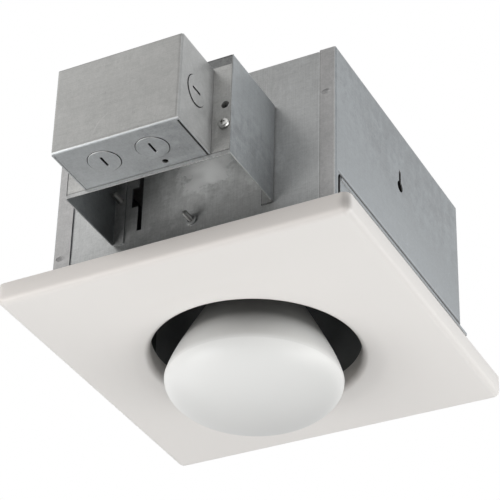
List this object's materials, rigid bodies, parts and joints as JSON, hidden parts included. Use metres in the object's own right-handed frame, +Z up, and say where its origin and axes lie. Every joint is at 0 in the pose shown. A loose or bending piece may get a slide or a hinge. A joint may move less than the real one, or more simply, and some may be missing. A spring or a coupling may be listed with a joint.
{
  "type": "bathroom ceiling heater",
  "caption": "Recessed ceiling heater with a steel housing, a wiring box in front, a round black can, a reflector heat lamp and a square white face plate.",
  "frame": {"origin": "middle of the housing's footprint on the ceiling plane, where the rim of the face plate meets the ceiling", "axes": "+Z up into the ceiling, -Y towards the wiring box, +X to the right seen from the wiring box"},
  "size_m": [0.267, 0.3487, 0.2108],
  "materials": {
    "galvanised_sheet": "galvanised",
    "box_sheet": "galvanised",
    "zinc_fastener": "zinc plated",
    "white_enamel": "satin enamel",
    "black_enamel": "matt heatproof enamel",
    "lamp_glass": "frosted face, silvered cone",
    "clear_glass": "clear",
    "black_glass": "gloss",
    "brass": "plain",
    "porcelain": "glazed",
    "tungsten": "plain wire",
    "spring_steel": "tempered",
    "phenolic": "moulded",
    "black_insulation": "wire insulation",
    "white_insulation": "wire insulation",
    "copper": "bare wire",
    "green_screw": "dyed zinc",
    "black_nylon": "moulded"
  },
  "bodies": {
    "housing": {"housing_wrap": "galvanised_sheet", "side_left": "galvanised_sheet", "side_right": "galvanised_sheet", "skirt_left": "galvanised_sheet", "skirt_right": "galvanised_sheet", "channel_box": "galvanised_sheet", "wiring_panel": "galvanised_sheet", "wiring_box": "box_sheet", "knockout_bottom_left": "box_sheet", "knockout_bottom_right": "box_sheet", "knockout_side": "box_sheet", "box_rivet_left": "zinc_fastener", "box_rivet_right": "zinc_fastener", "panel_screw": "zinc_fastener", "channel_screw_left": "zinc_fastener", "channel_screw_right": "zinc_fastener", "can_screw_front": "zinc_fastener", "can_screw_rear": "zinc_fastener", "bushing_panel": "black_nylon", "bushing_housing": "black_nylon", "bushing_can_front": "black_nylon", "bushing_can_rear": "black_nylon", "heat_can": "black_enamel", "heat_can_top": "black_enamel", "can_bracket_front": "galvanised_sheet", "can_bracket_rear": "galvanised_sheet", "can_rivet_front": "zinc_fastener", "can_rivet_rear": "zinc_fastener", "socket_bracket": "galvanised_sheet", "hat_rivet_left": "zinc_fastener", "hat_rivet_right": "zinc_fastener", "socket_screw_left": "zinc_fastener", "socket_screw_right": "zinc_fastener", "socket_body": "porcelain", "socket_shell": "brass", "socket_contact": "brass", "thermal_cutout": "phenolic", "cutout_rivet_left": "zinc_fastener", "cutout_rivet_right": "zinc_fastener", "lead_black": "black_insulation", "lead_white": "white_insulation", "lead_link": "black_insulation", "earth_lead": "copper", "earth_screw": "green_screw"},
    "plate": {"face_plate": "white_enamel", "plate_spring_left": "spring_steel", "plate_spring_right": "spring_steel", "plate_stud_left": "zinc_fastener", "plate_stud_right": "zinc_fastener"},
    "lamp_carriage": {"lamp_contact": "brass"},
    "lamp": {"lamp_glass": "lamp_glass", "lamp_cap": "brass", "lamp_cap_insulator": "black_glass", "lamp_stem": "clear_glass", "lamp_filament": "tungsten"}
  },
  "joints": [
    {"name": "plate_drop", "type": "slide", "parent": "housing", "child": "plate", "axis": [0, 0, -1], "range_m": [0, 0.044]},
    {"name": "lamp_travel", "type": "slide", "parent": "housing", "child": "lamp_carriage", "axis": [0, 0, -1], "range_m": [0, 0.0183]},
    {"name": "lamp_turn", "type": "hinge", "parent": "lamp_carriage", "child": "lamp", "pos_m": [-0.0042, -0.0016, -0.0655], "axis": [0, 0, -1], "range_deg": [0, 1800]}
  ],
  "couplings": [
    {"joint": "lamp_travel", "follows": "lamp_turn", "m_per_rad": 0.00057757}
  ]
}
